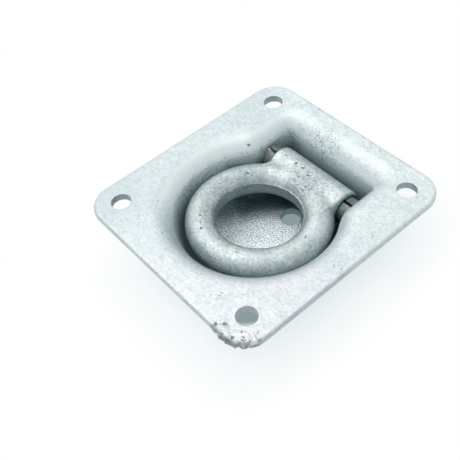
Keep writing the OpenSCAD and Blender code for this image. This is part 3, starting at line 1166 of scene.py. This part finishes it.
def plate_marks(nodes):
    """Mask of the plate's small marks, its cluster of specks, and the pits in its drips with the
    painted shade below them.
    """
    specks = nodes.pattern(*ZINC_SPECKS)
    specks = nodes.math("MULTIPLY", nodes.region(SPECK_CLUSTER), specks)
    dark = nodes.math("MAXIMUM", specks, nodes.mask("pit_and_painted_shade"))
    return nodes.math("MAXIMUM", marks(nodes, PLATE_MARKS), dark)


def plate_material():
    """Pale zinc with a fine grain, frosted on the recess floor, with painted shade in the recess."""
    nodes = MaterialNodes("sheet_zinc")
    floor = nodes.gradient(nodes.axis("Z"), *FLOOR_GRADIENT)
    grain = nodes.noise(*ZINC_GRAIN_NOISE)
    frost = nodes.noise(*ZINC_FROST_NOISE)
    crack = nodes.noise(*ZINC_CRACK_NOISE)
    bend, back_wall = nodes.mask("bend"), nodes.mask("back_wall")
    tone = flange_tone(nodes)
    tone = nodes.mix(nodes.spread(grain, *ZINC_GRAIN_SPREAD), tone, ZINC_FLECK)
    shade = nodes.math("MULTIPLY", floor, nodes.spread(frost, *ZINC_SHADE_SPREAD))
    tone = nodes.mix(shade, tone, ZINC_SHADE)
    glint = nodes.math("MULTIPLY", floor, nodes.spread(frost, *ZINC_FROST_SPREAD))
    tone = nodes.mix(glint, tone, ZINC_FROST)
    # Painted light on the recess walls below the lip, bluer and strongest on the pocket's back wall
    lit = nodes.math("MULTIPLY", bend, nodes.spread(back_wall, 0, 1, *PAINTED_WALL_LIGHT_SHARES))
    tone = nodes.mix(lit, tone, ZINC_PAINTED_WALL_LIGHT)
    # Painted highlight along the upper lip on the left side of the recess
    tone = nodes.mix(nodes.fade(nodes.mask("lip"), PAINTED_HIGHLIGHT_SHARE), tone, ZINC_PAINTED_HIGHLIGHT)
    # Painted shade on the recess walls and floor, round the near lip and in the holes
    tone = nodes.mix(nodes.fade(nodes.mask("painted_shade"), PAINTED_SHADE_SHARE, PAINTED_SHADE_FULL), tone, ZINC_PAINTED_SHADE_AND_CRACKS)
    # Painted shade on the plate's outer edge, made uneven by a noise
    edge = nodes.math("MULTIPLY", nodes.mask("edge"), nodes.pattern(*ZINC_EDGE_SHADE_UNEVENNESS))
    tone = nodes.mix(nodes.fade(edge, EDGE_PAINTED_SHADE_SHARE), tone, ZINC_EDGE_PAINTED_SHADE)
    # Cracks in the bent zinc, in the same dark colour as the painted shade
    cracks = nodes.math("MULTIPLY", bend, nodes.spread(crack, *ZINC_CRACK_SPREAD))
    cracks = nodes.math("MULTIPLY", cracks, nodes.spread(back_wall, 0, 1, *CRACK_SHARES))
    tone = nodes.mix(cracks, tone, ZINC_PAINTED_SHADE_AND_CRACKS)
    tone = nodes.mix(nodes.mask("drip"), tone, ZINC_DRIP)
    tone = nodes.mix(nodes.pattern(*ZINC_STAINS), tone, ZINC_STAIN)
    tone = nodes.mix(nodes.fade(plate_marks(nodes), DARK_MARK_SHARE), tone, ZINC_PIT_AND_PAINTED_SHADE)
    nodes.link(tone, nodes.shader.inputs["Base Color"])
    relief = nodes.bump(nodes.noise(*ZINC_WAVE_NOISE), ZINC_WAVE_HEIGHT)
    relief = nodes.bump(grain, ZINC_GRAIN_HEIGHT, under=relief)
    relief = nodes.bump(nodes.math("MULTIPLY", bend, crack), ZINC_CRACK_HEIGHT, under=relief)
    relief = nodes.bump(nodes.math("MULTIPLY", floor, frost), ZINC_FROST_HEIGHT, under=relief)
    nodes.link(relief, nodes.shader.inputs["Normal"])
    nodes.link(nodes.spread(floor, 0, 1, *ZINC_METALLIC), nodes.shader.inputs["Metallic"])
    nodes.link(nodes.spread(floor, 0, 1, *ZINC_ROUGHNESS), nodes.shader.inputs["Roughness"])
    return nodes.material


def ring_material():
    """Greyer zinc with warm clouds and dark pits, with painted shade below, at the barrel's ends and on
    the sheared band.
    """
    nodes = MaterialNodes("forged_zinc")
    tone = nodes.mix(nodes.pattern(*RING_CLOUDS), RING_PALE, RING_DULL)
    tone = nodes.mix(nodes.pattern(*RING_WARMTH), tone, RING_WARM)
    grain = nodes.noise(*RING_GRAIN_NOISE)
    tone = nodes.mix(nodes.spread(grain, *RING_GRAIN_SPREAD), tone, RING_FLECK_AND_PAINTED_SHADE)
    # Painted shade in patches, broken up by the grain
    for patch in RING_PAINTED_SHADE_PATCHES:
        patch_shade = nodes.math("MULTIPLY", nodes.region(patch), nodes.spread(grain, *RING_PATCH_SHADE_SPREAD))
        tone = nodes.mix(patch_shade, tone, RING_FLECK_AND_PAINTED_SHADE)
    # Painted light in patches along the ring's right side
    for patch in RING_PAINTED_LIGHT_PATCHES:
        tone = nodes.mix(nodes.fade(nodes.region(patch), RING_PAINTED_LIGHT_SHARE), tone, RING_PAINTED_LIGHT)
    # Painted shade on the ring's lower half
    tone = nodes.mix(nodes.fade(nodes.mask("painted_shade"), RING_PAINTED_SHADE_SHARE), tone, RING_PAINTED_SHADE)
    # Painted shade on the barrel's ends
    tone = nodes.mix(nodes.fade(nodes.mask("barrel_end_painted_shade"), BARREL_END_PAINTED_SHADE_SHARE), tone, ZINC_PAINTED_SHADE_AND_CRACKS)
    # Painted shade on the sheared band of the eye's inner wall
    tone = nodes.mix(nodes.fade(nodes.mask("band"), BAND_PAINTED_SHADE_SHARE), tone, RING_BAND_PAINTED_SHADE)
    tone = nodes.mix(nodes.spread(nodes.mask("burr"), *BURR_SPREAD), tone, RING_BURR)
    pits = marks(nodes, RING_PITS)
    specks = nodes.pattern(*RING_SPECKS)
    for cluster in RING_SPECK_CLUSTERS:
        pits = nodes.math("MAXIMUM", pits, nodes.math("MULTIPLY", nodes.region(cluster), specks))
    stains = nodes.pattern(*RING_STAINS)
    tone = nodes.mix(nodes.math("MAXIMUM", stains, pits), tone, ZINC_PIT_AND_PAINTED_SHADE)
    nodes.link(tone, nodes.shader.inputs["Base Color"])
    relief = nodes.bump(nodes.noise(*RING_WAVE_NOISE), RING_WAVE_HEIGHT)
    relief = nodes.bump(grain, RING_GRAIN_HEIGHT, under=relief)
    relief = nodes.bump(nodes.spread(pits, 0, 1, 1, 0), RING_PIT_HEIGHT, under=relief)
    nodes.link(relief, nodes.shader.inputs["Normal"])
    nodes.shader.inputs["Metallic"].default_value = RING_METALLIC
    nodes.shader.inputs["Roughness"].default_value = RING_ROUGHNESS
    return nodes.material


def pin_material():
    """Dark grey spring steel."""
    nodes = MaterialNodes("spring_steel")
    cloud = nodes.pattern(*PIN_CLOUDS)
    nodes.link(nodes.mix(cloud, PIN_PALE, PIN_DULL), nodes.shader.inputs["Base Color"])
    grain = nodes.bump(nodes.noise(*PIN_GRAIN_NOISE), PIN_GRAIN_HEIGHT)
    nodes.link(grain, nodes.shader.inputs["Normal"])
    nodes.shader.inputs["Metallic"].default_value = PIN_METALLIC
    nodes.shader.inputs["Roughness"].default_value = PIN_ROUGHNESS
    return nodes.material


def paint(target, material):
    target.data.materials.clear()
    target.data.materials.append(material)


# Camera, floor and light

def add_camera():
    back = Vector((
        math.sin(CAMERA_AZIMUTH) * math.cos(CAMERA_ELEVATION),
        -math.cos(CAMERA_AZIMUTH) * math.cos(CAMERA_ELEVATION),
        math.sin(CAMERA_ELEVATION),
    ))
    right = Vector((math.cos(CAMERA_AZIMUTH), math.sin(CAMERA_AZIMUTH), 0))
    up = back.cross(right)
    turned_right = right * math.cos(CAMERA_ROLL) + up * math.sin(CAMERA_ROLL)
    turned_up = up * math.cos(CAMERA_ROLL) - right * math.sin(CAMERA_ROLL)
    place = (Vector(CAMERA_TARGET) + back * CAMERA_DISTANCE) * MM
    data = bpy.data.cameras.new("camera")
    data.sensor_width = SENSOR_MM
    data.lens = FOCAL_PX * SENSOR_MM / IMAGE_SIZE
    data.clip_start = CLIP_START_M
    camera = bpy.data.objects.new("camera", data)
    turn = Matrix((turned_right, turned_up, back)).transposed()
    camera.matrix_world = Matrix.Translation(place) @ turn.to_4x4()
    bpy.context.scene.collection.objects.link(camera)
    bpy.context.scene.camera = camera


def floor_distance(nodes, middle):
    """Distance from a middle, as a share of the rounded rectangle that lies dark with painted shadow
    under the recess.
    """
    powers = []
    for axis, shift, reach in (("X", middle[0], FLOOR_DARK_X), ("Y", middle[1], FLOOR_DARK_Y)):
        place = nodes.math("SUBTRACT", nodes.axis(axis), shift * MM)
        share = nodes.math("ABSOLUTE", nodes.math("DIVIDE", place, reach * MM), 0)
        powers.append(nodes.math("POWER", share, FLOOR_CORNER_POWER))
    return nodes.math("POWER", nodes.math("ADD", *powers), 1 / FLOOR_CORNER_POWER)


def add_floor():
    """White floor, lit up where the camera sees it, but less close under the recess, with a painted
    shadow: dark under the recess and pale teal round the plate.
    """
    nodes = MaterialNodes("pale_floor")
    nodes.shader.inputs["Base Color"].default_value = FLOOR_COLOUR
    nodes.shader.inputs["Roughness"].default_value = FLOOR_ROUGHNESS
    nodes.shader.inputs["Specular IOR Level"].default_value = 0.0
    away = floor_distance(nodes, (0, 0))
    away_shadow = floor_distance(nodes, FLOOR_SHADOW_MIDDLE)
    out = nodes.math("POWER", nodes.spread(away_shadow, 1, FLOOR_FAR_SHARE), FLOOR_FADE_POWER)
    near = nodes.spread(away, FLOOR_DARK_SHARE, 1, FLOOR_DARK_GLOW, FLOOR_NEAR_GLOW)
    share = nodes.math("ADD", near, nodes.spread(out, 0, 1, 0, FLOOR_FAR_GLOW - FLOOR_NEAR_GLOW))
    # Painted shadow: dark under the recess, pale teal near the plate, white further out
    colour = nodes.mix(nodes.spread(away, FLOOR_DARK_SHARE, 1), FLOOR_PAINTED_SHADOW_DARK, FLOOR_PAINTED_SHADOW_NEAR)
    colour = nodes.mix(out, colour, WHITE)
    path = nodes.new("ShaderNodeLightPath")
    seen = nodes.math("MAXIMUM", path.outputs["Is Camera Ray"], path.outputs["Is Glossy Ray"])
    glow = nodes.new("ShaderNodeEmission")
    nodes.link(colour, glow.inputs["Color"])
    both = nodes.new("ShaderNodeMixShader")
    nodes.link(nodes.math("MULTIPLY", seen, share), both.inputs[0])
    nodes.link(nodes.shader.outputs[0], both.inputs[1])
    nodes.link(glow.outputs[0], both.inputs[2])
    nodes.link(both.outputs[0], nodes.tree.nodes["Material Output"].inputs["Surface"])
    bpy.ops.mesh.primitive_plane_add(size=FLOOR_SIZE_M, location=(0, 0, cad_low.z))
    floor = bpy.context.object
    floor.name = "floor"
    floor.data.materials.append(nodes.material)


def add_world():
    """Dim even dome that camera, reflections and glass see as white."""
    world = bpy.data.worlds.new("studio")
    bpy.context.scene.world = world
    nodes = Nodes(world)
    path = nodes.new("ShaderNodeLightPath")
    seen = path.outputs["Is Camera Ray"]
    for name in ("Is Glossy Ray", "Is Transmission Ray"):
        seen = nodes.math("MAXIMUM", seen, path.outputs[name])
    background = nodes.tree.nodes["Background"]
    nodes.link(nodes.spread(seen, 0, 1, DOME_STRENGTH, 1), background.inputs["Strength"])
    nodes.link(nodes.mix(seen, DOME_COLOUR, WHITE), background.inputs["Color"])


def add_sun():
    """Wide soft light from above and behind, to the left of the camera."""
    data = bpy.data.lights.new("soft_sun", "SUN")
    data.energy = SUN_STRENGTH
    data.color = SUN_COLOUR
    data.angle = SUN_ANGLE
    sun = bpy.data.objects.new("soft_sun", data)
    sun.rotation_euler = Vector(SUN_FROM).to_track_quat("Z", "Y").to_euler()
    bpy.context.scene.collection.objects.link(sun)


def main():
    plate = plate_object()
    ring = ring_object()
    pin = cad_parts["hinge_pin"]
    smooth_shade(pin, SHARP_EDGE)
    paint(plate, plate_material())
    paint(ring, ring_material())
    paint(pin, pin_material())
    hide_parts("base_plate")
    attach(plate, "plate")
    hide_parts("lashing_ring")
    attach(ring, "ring")
    add_camera()
    add_floor()
    add_world()
    add_sun()
    bpy.context.scene.view_settings.view_transform = "Standard"


main()
